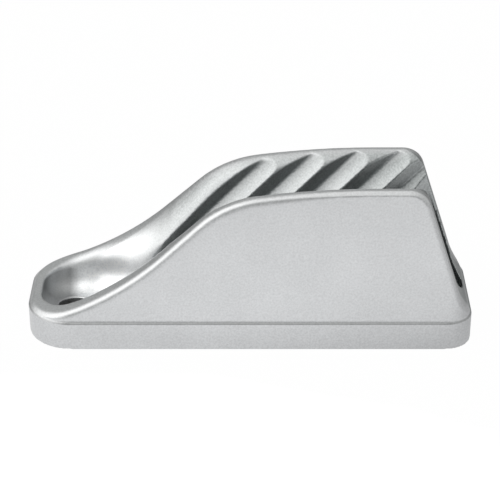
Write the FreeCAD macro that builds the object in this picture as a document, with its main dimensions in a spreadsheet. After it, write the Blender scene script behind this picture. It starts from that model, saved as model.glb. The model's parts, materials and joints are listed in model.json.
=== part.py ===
"""A one-piece cast aluminium jam cleat for 3 to 6 mm line, modelled in millimetres.

The origin is at the middle of the flat underside. +X runs along the rope towards the high
head and +Z points up from the deck. The rope lies in the toothed valley along X.
"""
import FreeCAD, Part
import math
import os
import Sketcher

Vector = FreeCAD.Vector

# Driving dimensions in millimetres and degrees
SIZES = {
    "overall_length": 65.0,
    "base_width": 18.9,
    "head_height": 24.65,
    "plinth_height": 4.3,
    "tail_corner": 6.6,
    "head_corner": 3.9,
    "ledge": 0.25,
    "draft_angle": 5.3,
    "tail_height": 4.95,
    "end_height": 4.95,
    "tail_radius": 20.0,
    "tail_angle": 24.0,
    "foot_radius": 43.0,
    "ramp_angle": 43.0,
    "brow_radius": 15.8,
    "brow_angle": 7.5,
    "crown_flat": 4.1,
    "nose_radius": 3.3,
    "end_lean": 18.0,
    "flare_radius": 7.0,
    "flare_angle": 42.0,
    "rim_bevel": 0.5,
    "jaw_angle": 13.0,
    "jaw_mouth": 9.35,
    "land_margin": 0.2,
    "lip_run": 0.12,
    "lip_angle": 18.0,
    "throat_start": 9.0,
    "throat_length": 11.5,
    "throat_pitch": 1.35,
    "jaw_pitch": 2.5,
    "valley_floor": 6.4,
    "floor_radius": 0.4,
    "tooth_count": 5,
    "tooth_pitch": 6.15,
    "tooth_depth": 1.3,
    "tooth_face": 3.0,
    "tooth_crest": 0.15,
    "tooth_lean": 46.8,
    "first_root": 3.6,
    "flank_radius": 6.5,
    "recess_width": 12.2,
    "recess_corner": 4.7,
    "recess_wall": 1.8,
    "recess_length": 5.2,
    "recess_floor": 1.6,
    "recess_floor_radius": 3.4,
    "bore_radius": 4.75,
    "hole_radius": 2.4,
    "hole_spacing": 53.0,
    "tail_hole_inset": 6.4,
}

doc = FreeCAD.newDocument("jam_cleat")


def make_sheet():
    """Put every driving dimension in a cell of its own, with its name as the alias."""
    sheet = doc.addObject("Spreadsheet::Sheet", "sizes")
    for row, (name, value) in enumerate(SIZES.items(), start=1):
        sheet.set(f"A{row}", name)
        sheet.set(f"B{row}", str(value))
        sheet.setAlias(f"B{row}", name)
    doc.recompute()
    return sheet


sheet = make_sheet()


def size(name):
    """The value that the sheet holds under a name."""
    return float(sheet.get(name))


def turn(name):
    """An angle from the sheet in radians."""
    return math.radians(size(name))


# Places that several sub-parts share
TAIL_END = -size("overall_length") / 2
HEAD_END = size("overall_length") / 2
OVERHANG = 6.0
UPPER_SPARE = 1.0
RACK_OVERLAP = 0.3
SKY = size("head_height") + OVERHANG
PROFILE_LEGS = 5


class Walk:
    """Draws a chain of tangent lines and arcs in a sketch, leg after leg."""

    def __init__(self, sketch, x, y, heading):
        self.sketch = sketch
        self.x = x
        self.y = y
        self.heading = heading
        self.last = None

    def _join(self, index, first, last):
        if self.last is not None:
            self.sketch.addConstraint(Sketcher.Constraint("Tangent", *self.last, index, first))
        self.last = (index, last)
        return index

    def line(self, length):
        start = Vector(self.x, self.y, 0)
        self.x += length * math.cos(self.heading)
        self.y += length * math.sin(self.heading)
        leg = Part.LineSegment(start, Vector(self.x, self.y, 0))
        return self._join(self.sketch.addGeometry(leg), 1, 2)

    def arc(self, radius, heading):
        """Turn to a new heading: to the left when it is larger, or else to the right."""
        left = heading > self.heading
        side = radius if left else -radius
        centre_x = self.x - side * math.sin(self.heading)
        centre_y = self.y + side * math.cos(self.heading)
        quarter = math.pi / 2 if left else -math.pi / 2
        start = self.heading - quarter
        end = heading - quarter
        circle = Part.Circle(Vector(centre_x, centre_y, 0), Vector(0, 0, 1), radius)
        leg = Part.ArcOfCircle(circle, min(start, end), max(start, end))
        self.x = centre_x + side * math.sin(heading)
        self.y = centre_y - side * math.cos(heading)
        self.heading = heading
        first, last = (1, 2) if left else (2, 1)
        return self._join(self.sketch.addGeometry(leg), first, last)


def bind(sketch, name, expression, *constraint):
    """Add a dimension to a sketch under a name and bind it to the sheet."""
    index = sketch.addConstraint(Sketcher.Constraint(*constraint))
    sketch.renameConstraint(index, name)
    sketch.setExpression(f"Constraints.{name}", expression)


def origin_plane(body, role):
    """One of a body's own origin planes."""
    return next(p for p in body.Origin.OriginFeatures if p.Role == role)


def body_sketch(body, name, role, offset=None):
    """A new sketch on one of the body's origin planes, raised by an expression if given."""
    sketch = body.newObject("Sketcher::SketchObject", name)
    sketch.AttachmentSupport = [(origin_plane(body, role), "")]
    sketch.MapMode = "FlatFace"
    if offset:
        sketch.setExpression("AttachmentOffset.Base.z", offset)
    return sketch


def draw_plan(sketch, inset):
    """Draw a plan outline, rounded more at the tail than at the head, in by an inset."""
    margin = size(inset) if inset else 0.0
    less = f" - sizes.{inset}" if inset else ""
    half_length = HEAD_END - margin
    half_width = size("base_width") / 2 - margin
    tail = size("tail_corner") - margin
    head = size("head_corner") - margin
    walk = Walk(sketch, tail - half_length, -half_width, 0.0)
    front = walk.line(2 * half_length - tail - head)
    front_head = walk.arc(head, math.pi / 2)
    end = walk.line(2 * (half_width - head))
    back_head = walk.arc(head, math.pi)
    back = walk.line(2 * half_length - tail - head)
    back_tail = walk.arc(tail, 3 * math.pi / 2)
    tip = walk.line(2 * (half_width - tail))
    front_tail = walk.arc(tail, 2 * math.pi)
    sketch.addConstraint(Sketcher.Constraint("Tangent", front_tail, 2, front, 1))
    sketch.addConstraint(Sketcher.Constraint("Horizontal", front))
    sketch.addConstraint(Sketcher.Constraint("Vertical", end))
    sketch.addConstraint(Sketcher.Constraint("Symmetric", front, 1, back, 2, -1))
    sketch.addConstraint(Sketcher.Constraint("Equal", front_head, back_head))
    sketch.addConstraint(Sketcher.Constraint("Equal", front_tail, back_tail))
    reach_text = f"sizes.overall_length / 2{less}"
    width_text = f"sizes.base_width / 2{less}"
    bind(sketch, "tail_reach", reach_text, "DistanceX", tip, 1, -1, 1, half_length)
    bind(sketch, "head_reach", reach_text, "DistanceX", -1, 1, end, 1, half_length)
    bind(sketch, "half_width", width_text, "DistanceY", front, 1, -1, 1, half_width)
    bind(sketch, "tail_corner", f"sizes.tail_corner{less}", "Radius", front_tail, tail)
    bind(sketch, "head_corner", f"sizes.head_corner{less}", "Radius", front_head, head)


def end_reaches():
    """How far along the nose, the straight end and the flare at its foot each reach."""
    nose_turn = math.pi / 2 - turn("end_lean")
    flare_turn = turn("flare_angle")
    nose_drop = size("nose_radius") * (1 - math.cos(nose_turn))
    flare_drop = size("flare_radius") * (math.cos(flare_turn) - math.cos(nose_turn))
    end_drop = size("head_height") - nose_drop - flare_drop - size("end_height")
    nose = size("nose_radius") * math.sin(nose_turn)
    end = end_drop / math.tan(nose_turn)
    flare = size("flare_radius") * (math.sin(nose_turn) - math.sin(flare_turn))
    return nose, end, flare


def ramp_and_crown():
    """Length of the straight ramp and radius of the crown that fill the length and height left."""
    tail = turn("tail_angle")
    ramp = turn("ramp_angle")
    brow = turn("brow_angle")
    rise = size("head_height") - size("tail_height") - size("tail_radius") * (1 - math.cos(tail))
    rise -= size("foot_radius") * (math.cos(tail) - math.cos(ramp))
    rise -= size("brow_radius") * (math.cos(brow) - math.cos(ramp))
    reach = size("overall_length") - size("ledge") - size("crown_flat") - sum(end_reaches())
    reach -= size("tail_radius") * math.sin(tail)
    reach -= size("foot_radius") * (math.sin(ramp) - math.sin(tail))
    reach -= size("brow_radius") * (math.sin(ramp) - math.sin(brow))
    crown_rise = 1 - math.cos(brow)
    crown = (reach - rise / math.tan(ramp)) / (math.sin(brow) - crown_rise / math.tan(ramp))
    return (rise - crown * crown_rise) / math.sin(ramp), crown


def draw_profile(sketch):
    """Draw the air above the cleat from the side: tail, foot, ramp, brow, crown, nose, end."""
    ramp_length, crown_radius = ramp_and_crown()
    nose_turn = math.pi / 2 - turn("end_lean")
    walk = Walk(sketch, TAIL_END, size("tail_height"), 0.0)
    tail = walk.arc(size("tail_radius"), turn("tail_angle"))
    foot = walk.arc(size("foot_radius"), turn("ramp_angle"))
    walk.line(ramp_length)
    brow = walk.arc(size("brow_radius"), turn("brow_angle"))
    crown = walk.arc(crown_radius, 0.0)
    flat = walk.line(size("crown_flat"))
    nose = walk.arc(size("nose_radius"), -nose_turn)
    walk.line(end_reaches()[1] / math.cos(nose_turn))
    flare = walk.arc(size("flare_radius"), -turn("flare_angle"))
    foot_x = HEAD_END - size("ledge")
    corners = [
        Vector(foot_x, size("end_height"), 0),
        Vector(HEAD_END + OVERHANG, size("end_height"), 0),
        Vector(HEAD_END + OVERHANG, SKY, 0),
        Vector(TAIL_END - OVERHANG, SKY, 0),
        Vector(TAIL_END - OVERHANG, size("tail_height"), 0),
        Vector(TAIL_END, size("tail_height"), 0),
    ]
    box = [sketch.addGeometry(Part.LineSegment(a, b)) for a, b in zip(corners, corners[1:])]
    joints = [(flare, 2)] + [(line, 1) for line in box]
    sketch.addConstraint(Sketcher.Constraint("Coincident", *joints[0], *joints[1]))
    for line, following in zip(box, box[1:]):
        sketch.addConstraint(Sketcher.Constraint("Coincident", line, 2, following, 1))
    sketch.addConstraint(Sketcher.Constraint("Coincident", box[-1], 2, tail, 1))
    for line in box[::2]:
        sketch.addConstraint(Sketcher.Constraint("Horizontal", line))
    for line in box[1::2]:
        sketch.addConstraint(Sketcher.Constraint("Vertical", line))
    bends = {
        "tail": (tail, "sizes.tail_radius", "sizes.tail_angle"),
        "foot": (foot, "sizes.foot_radius", "sizes.ramp_angle - sizes.tail_angle"),
        "brow": (brow, "sizes.brow_radius", "sizes.ramp_angle - sizes.brow_angle"),
        "nose": (nose, "sizes.nose_radius", "90 - sizes.end_lean"),
        "flare": (flare, "sizes.flare_radius", "90 - sizes.end_lean - sizes.flare_angle"),
    }
    for name, (arc, radius, span) in bends.items():
        shape = sketch.Geometry[arc]
        bind(sketch, f"{name}_radius", radius, "Radius", arc, shape.Radius)
        swept = shape.LastParameter - shape.FirstParameter
        bind(sketch, f"{name}_span", span, "Angle", arc, swept)
    bind(sketch, "crown_span", "sizes.brow_angle", "Angle", crown, turn("brow_angle"))
    bind(sketch, "crown_flat", "sizes.crown_flat", "DistanceX", flat, 1, flat, 2, size("crown_flat"))
    sketch.addConstraint(Sketcher.Constraint("Vertical", tail, 3, tail, 1))
    reach = corners[0].x
    reach_text = "sizes.overall_length / 2 - sizes.ledge"
    sky_text = f"sizes.head_height + {OVERHANG}"
    bind(sketch, "tail_reach", "sizes.overall_length / 2", "DistanceX", tail, 1, -1, 1, -TAIL_END)
    bind(sketch, "tail_height", "sizes.tail_height", "DistanceY", -1, 1, tail, 1, size("tail_height"))
    bind(sketch, "head_height", "sizes.head_height", "DistanceY", -1, 1, crown, 1, size("head_height"))
    bind(sketch, "foot_reach", reach_text, "DistanceX", -1, 1, flare, 2, reach)
    bind(sketch, "foot_height", "sizes.end_height", "DistanceY", -1, 1, flare, 2, corners[0].y)
    bind(sketch, "air_front", f"{OVERHANG}", "DistanceX", box[0], 1, box[0], 2, corners[1].x - reach)
    bind(sketch, "air_back", f"{OVERHANG}", "DistanceX", box[-1], 1, box[-1], 2, OVERHANG)
    bind(sketch, "air_top", sky_text, "DistanceY", -1, 1, box[1], 2, SKY)


def make_blank():
    """Plinth, drafted upper body and the side profile cut away above them."""
    blank = doc.addObject("PartDesign::Body", "blank")
    plinth_plan = body_sketch(blank, "plinth_plan", "XY_Plane")
    draw_plan(plinth_plan, None)
    plinth = blank.newObject("PartDesign::Pad", "plinth")
    plinth.Profile = plinth_plan
    plinth.setExpression("Length", "sizes.plinth_height")
    upper_plan = body_sketch(blank, "upper_plan", "XY_Plane", "sizes.plinth_height")
    draw_plan(upper_plan, "ledge")
    upper = blank.newObject("PartDesign::Pad", "upper")
    upper.Profile = upper_plan
    upper.setExpression("Length", f"sizes.head_height - sizes.plinth_height + {UPPER_SPARE}")
    upper.setExpression("TaperAngle", "-sizes.draft_angle")
    profile = body_sketch(blank, "side_profile", "XZ_Plane")
    draw_profile(profile)
    crown = blank.newObject("PartDesign::Pocket", "crown")
    crown.Profile = profile
    crown.SideType = "Symmetric"
    crown.Type = "Length"
    crown.setExpression("Length", "2 * sizes.base_width")
    blank.Tip = crown
    doc.recompute()
    return blank


def crosses_straight(face):
    """Whether a face runs straight across the cleat, as the faces of the profile do."""
    first_u, last_u, first_v, last_v = face.ParameterRange
    normal = face.normalAt((first_u + last_u) / 2, (first_v + last_v) / 2)
    return abs(normal.y) < 1e-6 and normal.z > 0.1


def profile_height(x):
    """Height of the side profile over a place along the cleat, up to the nose."""
    for leg in doc.side_profile.Geometry[:PROFILE_LEGS]:
        low, high = sorted([leg.StartPoint, leg.EndPoint], key=lambda point: point.x)
        if x > high.x:
            continue
        if isinstance(leg, Part.LineSegment):
            return low.y + (x - low.x) * (high.y - low.y) / (high.x - low.x)
        rise = math.sqrt(leg.Radius ** 2 - (x - leg.Center.x) ** 2)
        return leg.Center.y + rise if low.y > leg.Center.y else leg.Center.y - rise
    return size("head_height")


def make_rim(blank):
    """Bevel the outer edge of the upper body all the way round."""
    shape = blank.Shape
    above = size("plinth_height") + 0.1
    tops = [f for f in shape.Faces if crosses_straight(f) and f.BoundBox.ZMax > above]
    bevelled = []
    for number, edge in enumerate(shape.Edges, start=1):
        faces = shape.ancestorsOfType(edge, Part.Face)
        crossings = [any(face.isSame(top) for top in tops) for face in faces]
        if crossings.count(True) == 1:
            bevelled.append((number, size("rim_bevel"), size("rim_bevel")))
    rim = doc.addObject("Part::Chamfer", "rim")
    rim.Base = blank
    rim.Edges = bevelled
    return rim


def eased(x, start, length):
    """Share from 0 to 1 of a smooth change that begins at a place and runs over a length."""
    share = min(max((x - start) / length, 0.0), 1.0)
    return share * share * (3 - 2 * share)


def mix(share, low, high):
    """The value at a share of the way from low to high."""
    return low + share * (high - low)


def valley_section(x, floor_edge):
    """Cross-section of the rope valley: lands, rounded lips, walls and the narrow floor.

    The floor meets the walls in arcs in the throat and in narrow chamfers between the jaws.
    """
    first = turn("lip_angle")
    land = size("recess_width") / 2 + size("land_margin") - size("lip_run")
    top = profile_height(x) - size("lip_run") * math.tan(first)
    narrowed = eased(x, TAIL_END + size("throat_start"), size("throat_length"))
    jaw_at_top = size("jaw_mouth") / 2 - (size("head_height") - top) * math.tan(turn("jaw_angle"))
    wall = mix(narrowed, size("recess_width") / 2, jaw_at_top)
    lean = narrowed * turn("jaw_angle")
    floor = mix(narrowed, size("recess_floor"), size("valley_floor"))
    corner = mix(narrowed, size("recess_floor_radius"), size("floor_radius"))
    last = math.pi / 2 - lean
    spread = math.sin(last) - math.sin(first)
    fall = math.cos(first) - math.cos(last)
    lip = (land - wall) / (spread - fall * math.tan(lean))
    edge = land - lip * spread
    edge_z = top - lip * fall
    foot = wall - (top - floor) * math.tan(lean)
    tangent = corner * math.tan(last / 2)
    middle = (first + last) / 2
    lip_y = land + lip * math.sin(first)
    lip_z = top - lip * math.cos(first)
    sill = size("base_width") / 2

    def lift(y, z):
        return Vector(x, y, z)

    def half(side):
        """The edges of one side, from the sky down to the middle of the floor."""
        outer = lift(side * sill, top + (sill - land) * math.tan(first))
        brink = lift(side * land, top)
        on_lip = lift(side * (lip_y - lip * math.sin(middle)), lip_z + lip * math.cos(middle))
        lip_end = lift(side * edge, edge_z)
        bend_y = foot - tangent
        bend_top = lift(side * (foot + tangent * math.cos(last)), floor + tangent * math.sin(last))
        on_bend_y = bend_y + corner * math.sin(last / 2)
        on_bend = lift(side * on_bend_y, floor + corner * (1 - math.cos(last / 2)))
        bend_end = lift(side * bend_y, floor)
        chamfer = Part.LineSegment(bend_top, bend_end)
        return [
            Part.LineSegment(lift(side * sill, SKY), outer),
            Part.LineSegment(outer, brink),
            Part.Arc(brink, on_lip, lip_end),
            Part.LineSegment(lip_end, bend_top),
            Part.Arc(bend_top, on_bend, bend_end) if floor_edge == "arc" else chamfer,
            Part.LineSegment(bend_end, lift(0, floor)),
        ]

    sky = Part.LineSegment(lift(sill, SKY), lift(-sill, SKY))
    back = [edge.toShape() for edge in half(1)]
    front = [edge.toShape() for edge in reversed(half(-1))]
    return Part.Wire(back + front + [sky.toShape()])


def stations(start, end, pitch):
    """Evenly spread places from start to end, about a pitch apart."""
    count = round((end - start) / pitch)
    return [start + (end - start) * i / count for i in range(count + 1)]


def make_valley():
    """The rope valley: one loft from the screw recess to the jaws, one on out past the head."""
    start = TAIL_END + size("recess_wall") + size("recess_length")
    throat_end = TAIL_END + size("throat_start") + size("throat_length")
    stretches = [
        ("throat", start, throat_end, "throat_pitch", "arc"),
        ("jaw_valley", throat_end, HEAD_END + OVERHANG, "jaw_pitch", "chamfer"),
    ]
    lofts = []
    for name, low, high, pitch, floor_edge in stretches:
        sections = [valley_section(x, floor_edge) for x in stations(low, high, size(pitch))]
        loft = doc.addObject("Part::Feature", name)
        loft.Shape = Part.makeLoft(sections, True, False)
        lofts.append(loft)
    return lofts


def make_recess():
    """The deep pocket round the tail screw: a box with rounded corners at the tail end."""
    recess = doc.addObject("Part::Extrusion", "tail_recess")
    sketch = doc.addObject("Sketcher::SketchObject", "recess_plan")
    sketch.setExpression("Placement.Base.z", "sizes.recess_floor")
    half = size("recess_width") / 2
    corner = size("recess_corner")
    left = TAIL_END + size("recess_wall")
    right = left + size("recess_length")
    walk = Walk(sketch, right, half, math.pi)
    back = walk.line(right - left - corner)
    back_corner = walk.arc(corner, 3 * math.pi / 2)
    tip = walk.line(2 * (half - corner))
    front_corner = walk.arc(corner, 2 * math.pi)
    front = walk.line(right - left - corner)
    mouth = sketch.addGeometry(Part.LineSegment(Vector(right, -half, 0), Vector(right, half, 0)))
    sketch.addConstraint(Sketcher.Constraint("Coincident", front, 2, mouth, 1))
    sketch.addConstraint(Sketcher.Constraint("Coincident", mouth, 2, back, 1))
    sketch.addConstraint(Sketcher.Constraint("Horizontal", back))
    sketch.addConstraint(Sketcher.Constraint("Vertical", tip))
    sketch.addConstraint(Sketcher.Constraint("Symmetric", mouth, 1, mouth, 2, -1))
    sketch.addConstraint(Sketcher.Constraint("Equal", back_corner, front_corner))
    bind(sketch, "corner", "sizes.recess_corner", "Radius", back_corner, corner)
    bind(sketch, "width", "sizes.recess_width", "DistanceY", mouth, 1, mouth, 2, 2 * half)
    left_text = "sizes.overall_length / 2 - sizes.recess_wall"
    right_text = f"{left_text} - sizes.recess_length"
    bind(sketch, "left", left_text, "DistanceX", tip, 1, -1, 1, -left)
    bind(sketch, "right", right_text, "DistanceX", mouth, 1, -1, 1, -right)
    recess.Base = sketch
    recess.DirMode = "Custom"
    recess.Dir = Vector(0, 0, 1)
    recess.Solid = True
    recess.setExpression("LengthFwd", "sizes.head_height")
    doc.recompute()
    return round_floor(recess)


def round_floor(recess):
    """Round the recess floor up into its walls, but not at the open mouth."""
    rounded = doc.addObject("Part::Fillet", "round_recess")
    rounded.Base = recess
    radius = size("recess_floor_radius")
    mouth = TAIL_END + size("recess_wall") + size("recess_length")
    chosen = []
    for number, edge in enumerate(recess.Shape.Edges, start=1):
        box = edge.BoundBox
        if box.ZMax < size("recess_floor") + 0.1 and box.XMin < mouth - 0.1:
            chosen.append((number, radius, radius))
    rounded.Edges = chosen
    return rounded


def make_bore(name, radius, floor, place):
    """An upright round cut at one of the two screws."""
    bore = doc.addObject("Part::Cylinder", name)
    bore.setExpression("Radius", radius)
    bore.setExpression("Height", "2 * sizes.head_height")
    bore.setExpression("Placement.Base.x", place)
    bore.setExpression("Placement.Base.z", floor)
    return bore


def hollow(start, end, radius):
    """An arc from end back to start, hollowed away from the rope."""
    chord = end - start
    reach = math.sqrt(radius ** 2 - (chord.Length / 2) ** 2)
    centre = (start + end) / 2 + Vector(chord.y, -chord.x, 0) * (reach / chord.Length)
    circle = Part.Circle(centre, Vector(0, 0, 1), radius)
    return Part.ArcOfCircle(circle, circle.parameter(end), circle.parameter(start))


def rack_slant():
    """How much longer a way down along the tooth gaps is than straight down."""
    return math.sqrt(1 + math.tan(turn("tooth_lean")) ** 2 + math.tan(turn("jaw_angle")) ** 2)


def rack_placement():
    """The plane square to the tooth gaps, through the middle of the head at full height."""
    lean = math.tan(turn("tooth_lean"))
    jaw = turn("jaw_angle")
    along = Vector(lean, math.tan(jaw), 1).normalize()
    across = Vector(0, math.cos(jaw), -math.sin(jaw))
    turned = FreeCAD.Rotation(across.cross(along), across, along, "ZYX")
    return FreeCAD.Placement(Vector(0, 0, size("head_height")), turned)


def draw_rack(sketch):
    """Draw the tooth gaps of the back jaw, seen along the gaps: steep faces, hollow flanks.

    A place x along and y across the level top is seen at x * shrink - y * shear, y * cosine.
    """
    shrink = 1 / (math.cos(turn("jaw_angle")) * rack_slant())
    shear = math.sin(turn("jaw_angle")) * math.tan(turn("tooth_lean")) / rack_slant()
    cosine = math.cos(turn("jaw_angle"))

    def seen(x, y):
        return Vector(x * shrink - y * shear, y * cosine, 0)

    crest = size("jaw_mouth") / 2
    root = crest + size("tooth_depth")
    depth_text = "sizes.tooth_depth * cos(sizes.jaw_angle * 1 deg)"
    before = None
    x = size("first_root") - size("tooth_face")
    start = seen(x, crest)
    for tooth in range(round(size("tooth_count"))):
        heel = seen(x, crest)
        pit = seen(x + size("tooth_face"), root)
        x += size("tooth_pitch")
        tip = seen(x - size("tooth_crest"), crest)
        face = sketch.addGeometry(Part.LineSegment(heel, pit))
        flank = sketch.addGeometry(hollow(pit, tip, size("flank_radius")))
        sketch.addConstraint(Sketcher.Constraint("Coincident", face, 2, flank, 2))
        sketch.addConstraint(Sketcher.Constraint("DistanceX", face, 1, face, 2, pit.x - heel.x))
        sketch.addConstraint(Sketcher.Constraint("DistanceX", flank, 2, flank, 1, tip.x - pit.x))
        bind(sketch, f"depth_{tooth}", depth_text, "DistanceY", face, 1, face, 2, pit.y - heel.y)
        bind(sketch, f"rise_{tooth}", depth_text, "DistanceY", flank, 1, flank, 2, pit.y - tip.y)
        bind(sketch, f"hollow_{tooth}", "sizes.flank_radius", "Radius", flank, size("flank_radius"))
        if before is None:
            first = face
            crest_text = "sizes.jaw_mouth / 2 * cos(sizes.jaw_angle * 1 deg)"
            sketch.addConstraint(Sketcher.Constraint("DistanceX", -1, 1, face, 2, pit.x))
            bind(sketch, "crest_line", crest_text, "DistanceY", -1, 1, face, 1, heel.y)
        else:
            land = sketch.addGeometry(Part.LineSegment(before[1], heel))
            run = heel.x - before[1].x
            sketch.addConstraint(Sketcher.Constraint("Coincident", before[0], 1, land, 1))
            sketch.addConstraint(Sketcher.Constraint("Coincident", land, 2, face, 1))
            sketch.addConstraint(Sketcher.Constraint("DistanceX", land, 1, land, 2, run))
        before = (flank, tip)
    inner_end = before[1] - Vector(0, RACK_OVERLAP, 0)
    inner_start = start - Vector(0, RACK_OVERLAP, 0)
    corners = [before[1], inner_end, inner_start, start]
    close = [sketch.addGeometry(Part.LineSegment(a, b)) for a, b in zip(corners, corners[1:])]
    sketch.addConstraint(Sketcher.Constraint("Coincident", before[0], 1, close[0], 1))
    sketch.addConstraint(Sketcher.Constraint("Coincident", close[0], 2, close[1], 1))
    sketch.addConstraint(Sketcher.Constraint("Coincident", close[1], 2, close[2], 1))
    sketch.addConstraint(Sketcher.Constraint("Coincident", close[2], 2, first, 1))
    sketch.addConstraint(Sketcher.Constraint("Vertical", close[0]))
    sketch.addConstraint(Sketcher.Constraint("Vertical", close[2]))
    bind(sketch, "overlap", f"{RACK_OVERLAP}", "DistanceY", close[2], 1, close[2], 2, RACK_OVERLAP)
    sketch.addConstraint(Sketcher.Constraint("Horizontal", close[1]))


def make_jaws():
    """Both toothed jaws: one slanting rack of tooth gaps above the floor and its mirror image."""
    sketch = doc.addObject("Sketcher::SketchObject", "rack_plan")
    sketch.Placement = rack_placement()
    draw_rack(sketch)
    gaps = doc.addObject("Part::Extrusion", "tooth_gaps")
    gaps.Base = sketch
    gaps.DirMode = "Normal"
    gaps.setExpression("LengthFwd", "2 * sizes.head_height")
    gaps.setExpression("LengthRev", "2 * sizes.head_height")
    gaps.Solid = True
    space = doc.addObject("Part::Box", "space_above_floor")
    space.setExpression("Length", f"sizes.overall_length + {2 * OVERHANG}")
    space.setExpression("Width", "sizes.base_width")
    space.setExpression("Height", "sizes.head_height")
    space.setExpression("Placement.Base.x", f"-sizes.overall_length / 2 - {OVERHANG}")
    space.setExpression("Placement.Base.y", "-sizes.base_width / 2")
    space.setExpression("Placement.Base.z", "sizes.valley_floor")
    rack = doc.addObject("Part::Common", "back_rack")
    rack.Base = gaps
    rack.Tool = space
    mirrored = doc.addObject("Part::Mirroring", "front_rack")
    mirrored.Source = rack
    mirrored.Normal = Vector(0, 1, 0)
    return [rack, mirrored]


def check(cleat):
    """Stop if a feature failed, the cleat is no valid solid or a cut was not taken out of it."""
    for obj in doc.Objects:
        if "Invalid" in obj.State or "Error" in obj.State:
            raise RuntimeError(f"{obj.Name} failed")
    shape = cleat.Shape
    if shape.isNull() or not shape.isValid() or len(shape.Solids) != 1:
        raise RuntimeError(f"{cleat.Label} is not one valid solid")
    above_floor = size("valley_floor") + 1.0
    tail_hole = TAIL_END + size("tail_hole_inset")
    root = Vector(size("first_root"), (size("jaw_mouth") + size("tooth_depth")) / 2, size("head_height"))
    open_places = {
        "jaw_valley": Vector(0, 0, above_floor),
        "throat": Vector(TAIL_END + size("throat_start") + size("throat_length") / 2, 0, above_floor),
        "tail_recess": Vector(tail_hole, 0, size("recess_floor") + 1.0),
        "tail_hole": Vector(tail_hole, 0, size("recess_floor") / 2),
        "head_bore": Vector(tail_hole + size("hole_spacing"), 0, size("recess_floor") + 1.0),
        "head_hole": Vector(tail_hole + size("hole_spacing"), 0, size("recess_floor") / 2),
        "back_rack": root - Vector(0, 0, 0.3),
        "front_rack": Vector(root.x, -root.y, root.z - 0.3),
    }
    for name, place in open_places.items():
        if shape.isInside(place, 0.001, True):
            raise RuntimeError(f"{name} was not cut out")


rim = make_rim(make_blank())
tail_hole_x = "-sizes.overall_length / 2 + sizes.tail_hole_inset"
head_hole_x = f"{tail_hole_x} + sizes.hole_spacing"
tools = doc.addObject("Part::MultiFuse", "cuts")
tools.Shapes = make_valley() + [
    make_recess(),
    make_bore("head_bore", "sizes.bore_radius", "sizes.recess_floor", head_hole_x),
    make_bore("tail_hole", "sizes.hole_radius", "-1", tail_hole_x),
    make_bore("head_hole", "sizes.hole_radius", "-1", head_hole_x),
] + make_jaws()
cleat = doc.addObject("Part::Cut", "cleat_body")
cleat.Label = "cleat_body"
cleat.Base = rim
cleat.Tool = tools
cleat.Refine = False
doc.recompute()
check(cleat)
os.makedirs("parts", exist_ok=True)
cleat.Shape.exportStep(os.path.join("parts", cleat.Label + ".step"))
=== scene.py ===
"""A one-piece cast jam cleat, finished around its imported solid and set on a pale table."""
import json
import math

import bpy
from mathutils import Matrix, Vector

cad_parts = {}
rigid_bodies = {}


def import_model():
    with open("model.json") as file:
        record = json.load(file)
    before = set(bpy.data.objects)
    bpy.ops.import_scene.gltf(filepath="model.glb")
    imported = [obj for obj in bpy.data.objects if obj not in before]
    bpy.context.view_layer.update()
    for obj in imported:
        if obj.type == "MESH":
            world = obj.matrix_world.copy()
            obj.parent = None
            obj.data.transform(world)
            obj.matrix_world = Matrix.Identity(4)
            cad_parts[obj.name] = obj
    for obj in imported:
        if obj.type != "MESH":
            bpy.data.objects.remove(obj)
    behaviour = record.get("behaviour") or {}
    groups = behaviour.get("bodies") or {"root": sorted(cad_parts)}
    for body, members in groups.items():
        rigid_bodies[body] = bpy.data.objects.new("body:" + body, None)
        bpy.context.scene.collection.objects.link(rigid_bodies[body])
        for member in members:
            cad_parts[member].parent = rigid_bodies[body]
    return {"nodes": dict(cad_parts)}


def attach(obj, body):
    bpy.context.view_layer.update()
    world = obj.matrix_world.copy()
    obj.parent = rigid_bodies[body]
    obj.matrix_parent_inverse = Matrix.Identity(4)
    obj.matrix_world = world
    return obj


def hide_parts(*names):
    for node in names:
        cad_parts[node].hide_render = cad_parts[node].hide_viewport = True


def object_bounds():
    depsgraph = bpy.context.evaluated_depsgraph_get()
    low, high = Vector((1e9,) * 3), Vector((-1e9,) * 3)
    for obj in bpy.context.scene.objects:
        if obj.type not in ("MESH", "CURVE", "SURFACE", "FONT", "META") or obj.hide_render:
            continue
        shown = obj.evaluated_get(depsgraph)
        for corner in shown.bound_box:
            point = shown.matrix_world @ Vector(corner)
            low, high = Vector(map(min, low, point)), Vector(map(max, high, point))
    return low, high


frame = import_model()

bl_info = {
    "name": "Cast jam cleat",
    "version": (1, 0, 0),
    "blender": (4, 5, 0),
    "location": "View3D > Sidebar > Cleat",
    "description": "Builds the blasted casting, the pale table and the soft lamps of a small jam cleat",
    "category": "Object",
}

NODE = "cleat_body"
BOX_BEFORE = [list(corner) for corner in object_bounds()]
PHOTO_PIXELS = 500
MM = 0.001
JOIN_DISTANCE = 0.001 * MM
SMOOTH_STEP = 0.5

# Places where the rounding of the ramp fades in, each from none to all
TEETH_OUTSIDE = (5 * MM, 6 * MM)
TEETH_TAIL = (-14 * MM, -18 * MM)
RAMP_HEAD = (12 * MM, 2 * MM)
PLINTH_TOP = (4.8 * MM, 5.3 * MM)

# Places where the rounding of the recess fades in, each from none to all
RECESS_FRONT = (-5.6 * MM, -4 * MM)
RECESS_BACK = (7.6 * MM, 6.8 * MM)
RECESS_TAIL = (-29 * MM, -26 * MM)
RECESS_RAMP = (-13 * MM, -17 * MM)
RECESS_FLOOR = (2.2 * MM, 3.2 * MM)

# Painted shade between the jaws: places where it fades, and how much more of it the bore has
JAW_SIDES = (5.2 * MM, 6.0 * MM)
JAW_TAIL = (-16 * MM, -10 * MM)
JAW_BORE = (13 * MM, 22 * MM)
BORE_SHARE = 1.8
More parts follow.
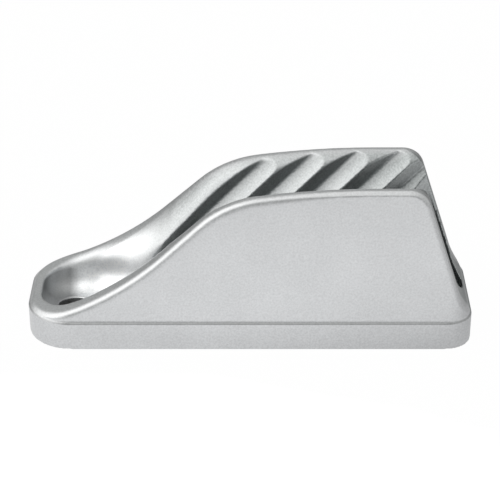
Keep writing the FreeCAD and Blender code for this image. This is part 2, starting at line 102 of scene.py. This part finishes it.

# Painted light and shade in the screw recess: where its brightness changes, and by how much
PAINTED_RECESS_SIDES = (5.9 * MM, 6.3 * MM)
PAINTED_RECESS_TAIL = -30.9 * MM
RECESS_SHADE_TOP = (4.5 * MM, 4.85 * MM)
RECESS_SHADE_END = (-27.2 * MM, -25.8 * MM)
RECESS_SHADE_LOSS = -0.42
RECESS_HIGHLIGHT_START = (-27.2 * MM, -24.8 * MM)
RECESS_HIGHLIGHT_END = (-18 * MM, -13 * MM)
RECESS_HIGHLIGHT_SIDE = (1.5 * MM, 3.6 * MM)
RECESS_HIGHLIGHT_FLOOR = -0.22
RECESS_HIGHLIGHT_GAIN = 0.5

# The painted shade line in the crease of the ledge: its height and edge, and the inner places that it
# leaves out
LEDGE_HEIGHT = 4.3 * MM
LEDGE_SHADE_EDGE = (0.05 * MM, 0.2 * MM)
UNSHADED_HALF_WIDTH = 6.6 * MM
UNSHADED_MIDDLE = 0.45 * MM
UNSHADED_HALF_LENGTH = 31.35 * MM

# How the fine grain and the faint clouds change the metal
NOISE_SPAN = (0.3, 0.7)
NOISE_DETAIL = 3.0
GRAIN_ROUGHNESS = 0.6
CLOUD_ROUGHNESS = 0.5
CLOUD_WIDTH = 8 * MM
DARK_GRAIN = 0.86
JAW_DARKER = 0.12
BRIGHT_GRAIN = 1.08
CLOUD_TONES = (0.97, 1.02)
GLOSS_SPREAD = (-0.05, 0.06)

# The table, and the brightness that gloss sees on it from one place to another: painted shade behind
# the cleat's head, beside its front, behind it and far off
TABLE_SIZE = 4.0
TABLE_DROP = 0.05 * MM
FOOTPRINT_MARGIN = 2.5 * MM
SHADE_PLACE = (50 * MM, 18 * MM)
SHADE_REACH = (15 * MM, 65 * MM)
OPEN_TABLE = 1.13
FAR_REACH = (90 * MM, 300 * MM)
FAR_TABLE = 0.4
FRONT_REACH = (-24 * MM, -9 * MM)
FRONT_TABLE = 0.8
BACK_REACH = (0.0, 60 * MM)
BACK_TABLE = 0.4
PAINT_TONES = (0.12, 0.9)
WHITE_SHARE = 0.98

# The studio: each wall's direction, and how near to it a ray first meets its light and has it all
WALLS = {
    "ceiling_glow": ((0.0, -0.2, 0.98), 0.6, 1.0),
    "front_glow": ((0.0, -1.0, 0.0), 0.5, 1.0),
    "left_glow": ((-0.84, -0.2, 0.5), 0.6, 1.0),
    "back_glow": ((-0.12, 0.85, 0.5), 0.4, 0.95),
    "right_glow": ((0.95, -0.1, 0.3), 0.5, 1.0),
}
GLOW_COLOUR = (1.01, 1.0, 0.985)
SHADE_COLOUR = (0.92, 1.02, 1.0)

# The lamps, each with its place and width, and where they and the camera point
LAMPS = {
    "overhead": ((-0.05, -0.28, 0.48), 0.34),
    "left": ((-0.45, -0.2, 0.22), 0.3),
}
LAMP_AIM = (0, 0, 10 * MM)
CAMERA_AIM = (0.13 * MM, 0, 11.19 * MM)
NEAREST_VIEW = 10 * MM


class CastingSettings(bpy.types.PropertyGroup):
    """Sizes and colours of the cast metal."""

    voxel: bpy.props.FloatProperty(
        name="Skin cell", description="Cell size of the skin that softens the casting's edges",
        default=0.15 * MM, min=0.1 * MM, max=1.0 * MM, subtype="DISTANCE", precision=5)
    softening: bpy.props.IntProperty(
        name="Edge softening", description="Passes of smoothing that round every edge a little",
        default=3, min=0, max=30)
    rounding: bpy.props.IntProperty(
        name="Ramp rounding", description="Further passes that round the edges of the ramp",
        default=64, min=0, max=200)
    recess_rounding: bpy.props.IntProperty(
        name="Recess rounding", description="Further passes that hollow the sides of the screw recess",
        default=600, min=0, max=900)
    triangles: bpy.props.IntProperty(
        name="Triangles", description="Most triangles that the finished skin may have",
        default=190000, min=10000, max=199000)
    # Painted shade between the toothed jaws: how much of the metal's colour it keeps
    valley_shade_tint: bpy.props.FloatVectorProperty(
        name="Jaw tint", description="How much of the metal's colour the unrubbed jaws keep",
        default=(0.82, 0.835, 0.83), size=3, min=0.0, max=1.0, subtype="COLOR")
    # Painted shade in the crease of the ledge over the plinth: how bright its line is
    seam: bpy.props.FloatProperty(
        name="Seam", description="How bright the line of dirt on the ledge over the plinth is",
        default=0.68, min=0.0, max=1.0, subtype="FACTOR")
    metal_colour: bpy.props.FloatVectorProperty(
        name="Metal", description="Colour of the blasted aluminium",
        default=(0.66, 0.67, 0.68), size=3, min=0.0, max=1.0, subtype="COLOR")
    roughness: bpy.props.FloatProperty(
        name="Roughness", description="How matt the blasted skin is",
        default=0.36, min=0.0, max=1.0, subtype="FACTOR")
    grain: bpy.props.FloatProperty(
        name="Grain", description="Width of one grain of the blasted skin",
        default=0.28 * MM, min=0.05 * MM, max=2.0 * MM, subtype="DISTANCE", precision=5)
    grain_depth: bpy.props.FloatProperty(
        name="Grain depth", description="Depth of the grain",
        default=0.012 * MM, min=0.0, max=0.2 * MM, subtype="DISTANCE", precision=5)


class StudioSettings(bpy.types.PropertyGroup):
    """The table, the lamps and the camera."""

    overhead: bpy.props.FloatProperty(
        name="Overhead lamp", description="Power of the large lamp above and in front",
        default=0.06, min=0.0, unit="POWER")
    left: bpy.props.FloatProperty(
        name="Left lamp", description="Power of the lamp to the left of the camera",
        default=0.05, min=0.0, unit="POWER")
    surround: bpy.props.FloatProperty(
        name="Surround", description="Strength of the plain light that comes from everywhere",
        default=0.10, min=0.0, max=2.0)
    ceiling_glow: bpy.props.FloatProperty(
        name="Ceiling glow", description="Strength of the studio's ceiling",
        default=0.85, min=0.0, max=4.0)
    front_glow: bpy.props.FloatProperty(
        name="Front glow", description="Strength of the studio's wall behind the camera",
        default=0.4, min=0.0, max=4.0)
    left_glow: bpy.props.FloatProperty(
        name="Left glow", description="Strength of the studio's bright upper left",
        default=1.6, min=0.0, max=4.0)
    back_glow: bpy.props.FloatProperty(
        name="Back glow", description="Strength of the studio's grey back wall",
        default=0.38, min=0.0, max=4.0)
    right_glow: bpy.props.FloatProperty(
        name="Right glow", description="Strength of the studio's grey right wall",
        default=0.6, min=0.0, max=4.0)
    table_shade: bpy.props.FloatProperty(
        name="Table shade", description="Brightness that gloss shows on the shaded table",
        default=0.7, min=0.0, max=1.0, subtype="FACTOR")
    height: bpy.props.FloatProperty(
        name="Camera height", description="Angle of the camera above the table",
        default=math.radians(30.087), subtype="ANGLE")
    distance: bpy.props.FloatProperty(
        name="Camera distance", description="Distance from the camera to the middle of the cleat",
        default=250 * MM, min=50 * MM, subtype="DISTANCE")
    focal: bpy.props.FloatProperty(
        name="Focal length", description="Focal length of the lens in pixels of the picture",
        default=1701.6, min=100.0)


def only(thing):
    """Select one object alone and make it active."""
    for other in bpy.context.view_layer.objects:
        other.select_set(False)
    thing.select_set(True)
    bpy.context.view_layer.objects.active = thing


def add_modifier(piece, kind, **values):
    """Add a modifier, set its values and apply it."""
    only(piece)
    bpy.ops.object.modifier_add(type=kind)
    modifier = piece.modifiers[-1]
    for key, value in values.items():
        setattr(modifier, key, value)
    bpy.ops.object.modifier_apply(modifier=modifier.name)


def smooth(piece, passes, group=""):
    """Smooth the points of a piece, all of them or those of one group."""
    add_modifier(piece, "SMOOTH", factor=SMOOTH_STEP, iterations=passes, vertex_group=group)


def copy_of_node(node, name):
    """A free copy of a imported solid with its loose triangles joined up."""
    piece = bpy.data.objects.new(name, frame["nodes"][node].data.copy())
    bpy.context.scene.collection.objects.link(piece)
    only(piece)
    bpy.ops.object.mode_set(mode="EDIT")
    bpy.ops.mesh.select_all(action="SELECT")
    bpy.ops.mesh.remove_doubles(threshold=JOIN_DISTANCE)
    bpy.ops.object.mode_set(mode="OBJECT")
    return piece


def share_between(value, start, end):
    """Share from 0 at the start to 1 at the end."""
    return min(max((value - start) / (end - start), 0.0), 1.0)


def along_ramp(x, y, z):
    """Share of rounding for a place on the edges of the ramp, clear of the teeth."""
    clear_of_teeth = max(share_between(abs(y), *TEETH_OUTSIDE), share_between(x, *TEETH_TAIL))
    return share_between(x, *RAMP_HEAD) * share_between(z, *PLINTH_TOP) * clear_of_teeth


def beside_recess(x, y, z):
    """Share of rounding for a place on the sides of the screw recess and its way up the ramp."""
    wide = share_between(y, *RECESS_FRONT) * share_between(y, *RECESS_BACK)
    long = share_between(x, *RECESS_TAIL) * share_between(x, *RECESS_RAMP)
    return wide * long * share_between(z, *RECESS_FLOOR)


def round_region(piece, region, passes):
    """Round the edges of one region, given by the share of rounding at a place."""
    group = piece.vertex_groups.new(name="region")
    for vertex in piece.data.vertices:
        share = region(*vertex.co)
        if share > 0:
            group.add([vertex.index], share, "REPLACE")
    smooth(piece, passes, group.name)
    piece.vertex_groups.clear()


class Weave:
    """Adds shader nodes to a material, or to the world, and joins them."""

    def __init__(self, holder):
        holder.use_nodes = True
        self.holder = holder
        self.nodes = holder.node_tree.nodes
        self.links = holder.node_tree.links
        self.nodes.clear()

    def add(self, kind, **inputs):
        """Add a node; an input given as a socket is joined, any other value is set."""
        node = self.nodes.new(kind)
        for key, value in inputs.items():
            self.put(node, key.replace("_", " "), value)
        return node

    def put(self, node, name, value):
        """Set or join one input of a node by its name or number."""
        socket = node.inputs[int(name) if name.isdigit() else name]
        if isinstance(value, bpy.types.NodeSocket):
            self.links.new(value, socket)
        else:
            socket.default_value = value

    def math(self, operation, first, second=0.0):
        """One operation on one or two values, each a number or a socket."""
        node = self.nodes.new("ShaderNodeMath")
        node.operation = operation
        self.put(node, "0", first)
        self.put(node, "1", second)
        return node.outputs[0]

    def product(self, first, *others):
        """Several values multiplied together."""
        for other in others:
            first = self.math("MULTIPLY", first, other)
        return first

    def noise(self, where, width, roughness):
        """Noise over the object's own coordinates, with grains of about the given width."""
        sizes = {"Scale": 1 / width, "Detail": NOISE_DETAIL, "Roughness": roughness}
        return self.add("ShaderNodeTexNoise", Vector=where, **sizes).outputs["Fac"]

    def axes(self, where):
        """The three parts of a place, as outputs named X, Y and Z."""
        node = self.nodes.new("ShaderNodeSeparateXYZ")
        self.links.new(where, node.inputs[0])
        return node.outputs

    def ramp(self, factor, low, high, start, end):
        """Turn a factor from start to end into a value from low to high."""
        node = self.nodes.new("ShaderNodeMapRange")
        names = ("Value", "From Min", "From Max", "To Min", "To Max")
        for name, value in zip(names, (factor, start, end, low, high)):
            self.put(node, name, value)
        return node.outputs["Result"]


def painted_valley_shade(weave, place):
    """A factor of 1 between the toothed jaws, for the painted shade in the valley there, and more at
    the bore.
    """
    across = weave.ramp(weave.math("ABSOLUTE", place["Y"]), 1.0, 0.0, *JAW_SIDES)
    along = weave.ramp(place["X"], 0.0, 1.0, *JAW_TAIL)
    bore = weave.ramp(place["X"], 1.0, BORE_SHARE, *JAW_BORE)
    return weave.product(across, along, bore)


def recess_light_and_shade(weave, place):
    """Painted brightness of the screw recess: painted shade at its tail end and on its floor, a painted
    highlight on its sides towards the ramp.
    """
    side = weave.math("ABSOLUTE", place["Y"])
    across = weave.ramp(side, 1.0, 0.0, *PAINTED_RECESS_SIDES)
    inside = weave.product(across, weave.math("GREATER_THAN", place["X"], PAINTED_RECESS_TAIL))
    deep = weave.ramp(place["Z"], 1.0, 0.0, *RECESS_SHADE_TOP)
    recess_shade = weave.product(deep, weave.ramp(place["X"], RECESS_SHADE_LOSS, 0.0, *RECESS_SHADE_END))
    start = weave.ramp(place["X"], 0.0, 1.0, *RECESS_HIGHLIGHT_START)
    end = weave.ramp(place["X"], 1.0, 0.0, *RECESS_HIGHLIGHT_END)
    recess_highlight = weave.product(start, end, weave.ramp(side, RECESS_HIGHLIGHT_FLOOR, RECESS_HIGHLIGHT_GAIN, *RECESS_HIGHLIGHT_SIDE))
    return weave.math("ADD", 1.0, weave.product(inside, weave.math("ADD", recess_highlight, recess_shade)))


def ledge_shade_line(weave, place, settings):
    """A factor under 1 in a thin line on the outer ledge over the plinth: painted shade in the ledge's
    crease.
    """
    height = weave.math("ABSOLUTE", weave.math("SUBTRACT", place["Z"], LEDGE_HEIGHT))
    line = weave.ramp(height, settings.seam, 1.0, *LEDGE_SHADE_EDGE)
    side = weave.math("GREATER_THAN", weave.math("ABSOLUTE", place["Y"]), UNSHADED_HALF_WIDTH)
    ahead = weave.math("SUBTRACT", place["X"], UNSHADED_MIDDLE)
    end = weave.math("GREATER_THAN", weave.math("ABSOLUTE", ahead), UNSHADED_HALF_LENGTH)
    unshaded = weave.math("SUBTRACT", 1.0, weave.math("MAXIMUM", side, end))
    return weave.math("MAXIMUM", line, unshaded)


def metal_colour(weave, where, grain, settings):
    """The metal's colour with its grain and clouds, painted shade between the jaws and in the ledge's
    crease, and painted light and shade in the recess.
    """
    place = weave.axes(where)
    valley_shade = painted_valley_shade(weave, place)
    # Between the jaws the grain's dark end goes darker still, under the painted shade there.
    darkest = weave.math("SUBTRACT", DARK_GRAIN, weave.product(valley_shade, JAW_DARKER))
    shade = weave.ramp(grain, darkest, BRIGHT_GRAIN, *NOISE_SPAN)
    cloud = weave.noise(where, CLOUD_WIDTH, CLOUD_ROUGHNESS)
    tint = weave.ramp(cloud, *CLOUD_TONES, *NOISE_SPAN)
    tone = weave.product(shade, tint, ledge_shade_line(weave, place, settings), recess_light_and_shade(weave, place))
    colour = weave.nodes.new("ShaderNodeCombineColor")
    for channel in range(3):
        # The painted shade between the jaws keeps only part of each channel of the metal's colour.
        kept = weave.math("POWER", settings.valley_shade_tint[channel], valley_shade)
        metal = weave.product(tone, kept, settings.metal_colour[channel])
        weave.links.new(metal, colour.inputs[channel])
    return colour.outputs[0]


def blasted_aluminium(settings):
    """Bead-blasted casting: a fine grain, faint cloudiness and small changes of gloss."""
    weave = Weave(bpy.data.materials.new("blasted_aluminium"))
    where = weave.add("ShaderNodeTexCoord").outputs["Object"]
    grain = weave.noise(where, settings.grain, GRAIN_ROUGHNESS)
    tones = [settings.roughness + spread for spread in GLOSS_SPREAD]
    gloss = weave.ramp(grain, *tones, *NOISE_SPAN)
    bump = weave.add("ShaderNodeBump", Strength=1.0, Distance=settings.grain_depth, Height=grain)
    shader = weave.add("ShaderNodeBsdfPrincipled", Metallic=1.0, Normal=bump.outputs["Normal"])
    weave.put(shader, "Base Color", metal_colour(weave, where, grain, settings))
    weave.put(shader, "Roughness", gloss)
    weave.add("ShaderNodeOutputMaterial", Surface=shader.outputs[0])
    return weave.holder


class CLEAT_OT_casting(bpy.types.Operator):
    """Give the casting its softened edges and its blasted skin"""

    bl_idname = "cleat.casting"
    bl_label = "Casting"

    def execute(self, context):
        settings = context.scene.cleat_casting
        piece = copy_of_node(NODE, "cast_body")
        add_modifier(piece, "REMESH", mode="VOXEL", voxel_size=settings.voxel)
        smooth(piece, settings.softening)
        round_region(piece, along_ramp, settings.rounding)
        round_region(piece, beside_recess, settings.recess_rounding)
        triangles = sum(len(face.vertices) - 2 for face in piece.data.polygons)
        if triangles > settings.triangles:
            add_modifier(piece, "DECIMATE", ratio=settings.triangles / triangles)
        only(piece)
        bpy.ops.object.shade_smooth()
        piece.data.materials.clear()
        piece.data.materials.append(blasted_aluminium(settings))
        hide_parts(NODE)
        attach(piece, "root")
        return {"FINISHED"}


def add_lamp(name, place, power, width):
    """A square soft lamp that shines on the middle of the cleat."""
    bpy.ops.object.light_add(type="AREA", location=place)
    lamp = bpy.context.object
    lamp.name = name
    lamp.data.energy = power
    lamp.data.size = width
    lamp.rotation_euler = (Vector(LAMP_AIM) - Vector(place)).to_track_quat("-Z", "Y").to_euler()


def beyond_footprint(weave, where):
    """A factor of 0 on the table under the cleat, where no light falls, and 1 all round it."""
    factor = 0.0
    for axis, half in zip("XY", BOX_BEFORE[1]):
        distance = weave.math("ABSOLUTE", where[axis])
        outside = weave.math("GREATER_THAN", distance, half - FOOTPRINT_MARGIN)
        factor = weave.math("MAXIMUM", factor, outside)
    return factor


def distance_from(weave, where, place):
    """Distance on the table from a place given by its x and y."""
    squares = []
    for axis, middle in zip("XY", place):
        offset = weave.math("SUBTRACT", where[axis], middle)
        squares.append(weave.product(offset, offset))
    return weave.math("SQRT", weave.math("ADD", *squares))


def table_white(settings):
    """White table with a trace of shadow; gloss shows it shaded behind the cleat's head."""
    weave = Weave(bpy.data.materials.new("table_white"))
    where = weave.axes(weave.add("ShaderNodeTexCoord").outputs["Object"])
    beyond = beyond_footprint(weave, where)
    path = weave.nodes.new("ShaderNodeLightPath").outputs
    gloss = weave.math("MAXIMUM", path["Is Glossy Ray"], path["Is Transmission Ray"])
    seen = weave.math("MAXIMUM", path["Is Camera Ray"], gloss)
    from_shade = distance_from(weave, where, SHADE_PLACE)
    from_cleat = distance_from(weave, where, (0.0, 0.0))
    near = weave.ramp(from_shade, settings.table_shade, OPEN_TABLE, *SHADE_REACH)
    far = weave.ramp(from_cleat, 1.0, FAR_TABLE, *FAR_REACH)
    front = weave.ramp(where["Y"], 1.0, FRONT_TABLE, *FRONT_REACH)
    back = weave.ramp(where["Y"], 1.0, BACK_TABLE, *BACK_REACH)
    shown = weave.product(near, far, front, back)
    strength = weave.math("MAXIMUM", path["Is Camera Ray"], shown)
    paint = weave.add("ShaderNodeBsdfDiffuse", Color=weave.ramp(beyond, *PAINT_TONES, 0.0, 1.0))
    glow = weave.add("ShaderNodeEmission", Color=(1.0, 1.0, 1.0, 1.0), Strength=strength)
    mix = weave.nodes.new("ShaderNodeMixShader")
    sockets = (weave.product(seen, WHITE_SHARE, beyond), paint.outputs[0], glow.outputs[0])
    for socket, source in zip(mix.inputs, sockets):
        weave.links.new(source, socket)
    weave.add("ShaderNodeOutputMaterial", Surface=mix.outputs[0])
    return weave.holder


def studio_world(settings):
    """The light of a plain studio: bright above and at the left, and grey all round."""
    weave = Weave(bpy.data.worlds.new("studio"))
    towards = weave.nodes.new("ShaderNodeTexCoord").outputs["Generated"]
    total = 0.0
    for name, (direction, first, full) in WALLS.items():
        nearness = weave.nodes.new("ShaderNodeVectorMath")
        nearness.operation = "DOT_PRODUCT"
        weave.links.new(towards, nearness.inputs[0])
        nearness.inputs[1].default_value = direction
        wall = weave.ramp(nearness.outputs["Value"], 0.0, getattr(settings, name), first, full)
        total = weave.math("ADD", total, wall)
    colour = weave.nodes.new("ShaderNodeCombineColor")
    for channel in range(3):
        glow = weave.product(total, GLOW_COLOUR[channel])
        shade = settings.surround * SHADE_COLOUR[channel]
        weave.links.new(weave.math("ADD", glow, shade), colour.inputs[channel])
    light = weave.add("ShaderNodeBackground", Color=colour.outputs[0], Strength=1.0)
    weave.add("ShaderNodeOutputWorld", Surface=light.outputs[0])
    return weave.holder


class CLEAT_OT_stage(bpy.types.Operator):
    """Lay the white table, hang the lamps and set the camera"""

    bl_idname = "cleat.stage"
    bl_label = "Stage"

    def execute(self, context):
        settings = context.scene.cleat_studio
        bpy.ops.mesh.primitive_plane_add(size=TABLE_SIZE, location=(0, 0, -TABLE_DROP))
        table = context.object
        table.name = "table"
        table.data.materials.append(table_white(settings))
        for name, (place, width) in LAMPS.items():
            add_lamp(f"{name}_lamp", place, getattr(settings, name), width)
        context.scene.world = studio_world(settings)
        back = Vector((0, -math.cos(settings.height), math.sin(settings.height)))
        bpy.ops.object.camera_add(location=Vector(CAMERA_AIM) + settings.distance * back)
        camera = context.object
        camera.name = "photo_camera"
        camera.rotation_euler = (math.pi / 2 - settings.height, 0, 0)
        camera.data.lens = settings.focal * camera.data.sensor_width / PHOTO_PIXELS
        camera.data.clip_start = NEAREST_VIEW
        context.scene.camera = camera
        context.scene.view_settings.view_transform = "Standard"
        return {"FINISHED"}


class CLEAT_PT_panel(bpy.types.Panel):
    """Lists the pieces of the cleat and their sizes"""

    bl_idname = "CLEAT_PT_panel"
    bl_label = "Jam cleat"
    bl_space_type = "VIEW_3D"
    bl_region_type = "UI"
    bl_category = "Cleat"

    def draw(self, context):
        for group, operator in (("cleat_casting", "cleat.casting"), ("cleat_studio", "cleat.stage")):
            settings = getattr(context.scene, group)
            column = self.layout.column()
            column.operator(operator)
            for name in settings.__annotations__:
                column.prop(settings, name)


CLASSES = (CastingSettings, StudioSettings, CLEAT_OT_casting, CLEAT_OT_stage, CLEAT_PT_panel)


def register():
    """Add the classes and their settings."""
    for cls in CLASSES:
        bpy.utils.register_class(cls)
    bpy.types.Scene.cleat_casting = bpy.props.PointerProperty(type=CastingSettings)
    bpy.types.Scene.cleat_studio = bpy.props.PointerProperty(type=StudioSettings)


def unregister():
    """Take the settings and the classes away again."""
    del bpy.types.Scene.cleat_studio
    del bpy.types.Scene.cleat_casting
    for cls in reversed(CLASSES):
        bpy.utils.unregister_class(cls)


def main():
    """Build every piece."""
    register()
    bpy.ops.cleat.casting()
    bpy.ops.cleat.stage()


if __name__ == "__main__":
    main()
